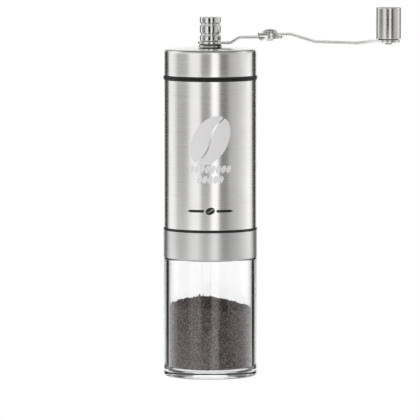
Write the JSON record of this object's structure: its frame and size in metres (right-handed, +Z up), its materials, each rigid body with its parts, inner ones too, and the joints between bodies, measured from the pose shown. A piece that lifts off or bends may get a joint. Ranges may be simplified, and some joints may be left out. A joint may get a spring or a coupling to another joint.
{
  "type": "hand crank coffee grinder",
  "caption": "Slim tubular steel coffee mill with a domed lid, folding side crank, conical burrs inside and a clear screw-on jar under it.",
  "frame": {"origin": "centre of the jar's flat underside, which the mill stands on", "axes": "+Z up the shaft, +X along the extended crank to its grip"},
  "size_m": [0.128, 0.0508, 0.1992],
  "materials": {
    "brushed_steel": "satin, fine brushed lines round the body",
    "polished_steel": "mirror polished",
    "plain_steel": "turned, fine",
    "brass": "turned",
    "ceramic": "unglazed, fine ground",
    "black_plastic": "fine moulded texture",
    "nylon": "natural, moulded",
    "rubber": "soft matt silicone",
    "glass": "clear, polished"
  },
  "bodies": {
    "body": {"hopper_tube": "brushed_steel", "mill_housing": "black_plastic", "lower_bush": "nylon", "outer_burr": "ceramic", "burr_clamp_ring": "black_plastic", "clamp_screw_1": "plain_steel", "clamp_screw_2": "plain_steel", "clamp_screw_3": "plain_steel"},
    "lid": {"lid_shell": "brushed_steel", "lid_liner": "black_plastic", "lid_seal": "rubber", "lid_bushing": "polished_steel"},
    "crank_washer": {"crank_washer": "black_plastic"},
    "crank_inner": {"crank_inner_link": "polished_steel"},
    "nut_washer": {"nut_washer": "nylon"},
    "thumb_nut": {"thumb_nut": "polished_steel"},
    "crank_outer": {"crank_outer_link": "polished_steel", "hinge_rivet": "polished_steel", "grip_pin": "plain_steel", "grip_washer": "black_plastic"},
    "grip": {"grip_shell": "brushed_steel", "grip_bush": "nylon"},
    "shaft": {"drive_shaft": "plain_steel", "shaft_clip": "plain_steel", "thrust_washer": "plain_steel", "burr_spring": "plain_steel"},
    "inner_burr": {"inner_burr": "ceramic", "burr_driver": "black_plastic"},
    "adjuster": {"adjuster_dial": "black_plastic", "adjuster_nut": "brass"},
    "jar_gasket": {"jar_gasket": "rubber"},
    "jar": {"glass_jar": "glass", "jar_band": "brushed_steel", "jar_thread_ring": "black_plastic"}
  },
  "joints": [
    {"name": "lid_lift", "type": "slide", "parent": "body", "child": "lid", "axis": [0, 0, 1], "range_m": [0, 0.04]},
    {"name": "crank_turn", "type": "hinge", "parent": "lid", "child": "crank_washer", "pos_m": [0, 0, 0.1788], "axis": [0, 0, 1], "continuous": true},
    {"name": "crank_lift", "type": "slide", "parent": "crank_washer", "child": "crank_inner", "axis": [0, 0, 1], "range_m": [0, 0.012]},
    {"name": "nut_unscrew", "type": "hinge", "parent": "nut_washer", "child": "thumb_nut", "pos_m": [0, 0, 0.187], "axis": [0, 0, 1], "range_deg": [0, 3600]},
    {"name": "nut_rise", "type": "slide", "parent": "crank_inner", "child": "nut_washer", "axis": [0, 0, 1], "range_m": [0, 0.00801]},
    {"name": "crank_fold", "type": "hinge", "parent": "crank_inner", "child": "crank_outer", "pos_m": [0.0322, 0, 0.1838], "axis": [0, 0, 1], "range_deg": [0, 115]},
    {"name": "grip_spin", "type": "hinge", "parent": "crank_outer", "child": "grip", "pos_m": [0.096, 0, 0.19], "axis": [0, 0, 1], "continuous": true},
    {"name": "rotor_turn", "type": "hinge", "parent": "body", "child": "shaft", "pos_m": [0, 0, 0.1], "axis": [0, 0, 1], "continuous": true},
    {"name": "burr_shift", "type": "slide", "parent": "shaft", "child": "inner_burr", "axis": [0, 0, 1], "range_m": [0, 0.0012], "deforming": ["burr_spring"]},
    {"name": "adjust_turn", "type": "hinge", "parent": "inner_burr", "child": "adjuster", "pos_m": [0, 0, 0.071], "axis": [0, 0, 1], "range_deg": [0, 540]},
    {"name": "jar_drop", "type": "slide", "parent": "body", "child": "jar_gasket", "axis": [0, 0, -1], "range_m": [0, 0.00901]},
    {"name": "jar_unscrew", "type": "hinge", "parent": "jar_gasket", "child": "jar", "pos_m": [0, 0, 0.075], "axis": [0, 0, -1], "range_deg": [0, 540]}
  ],
  "couplings": [
    {"joint": "rotor_turn", "follows": "crank_turn", "ratio": 1},
    {"joint": "nut_rise", "follows": "nut_unscrew", "m_per_rad": 0.00012732},
    {"joint": "burr_shift", "follows": "adjust_turn", "m_per_rad": 0.00012732},
    {"joint": "jar_drop", "follows": "jar_unscrew", "m_per_rad": 0.00095493}
  ]
}
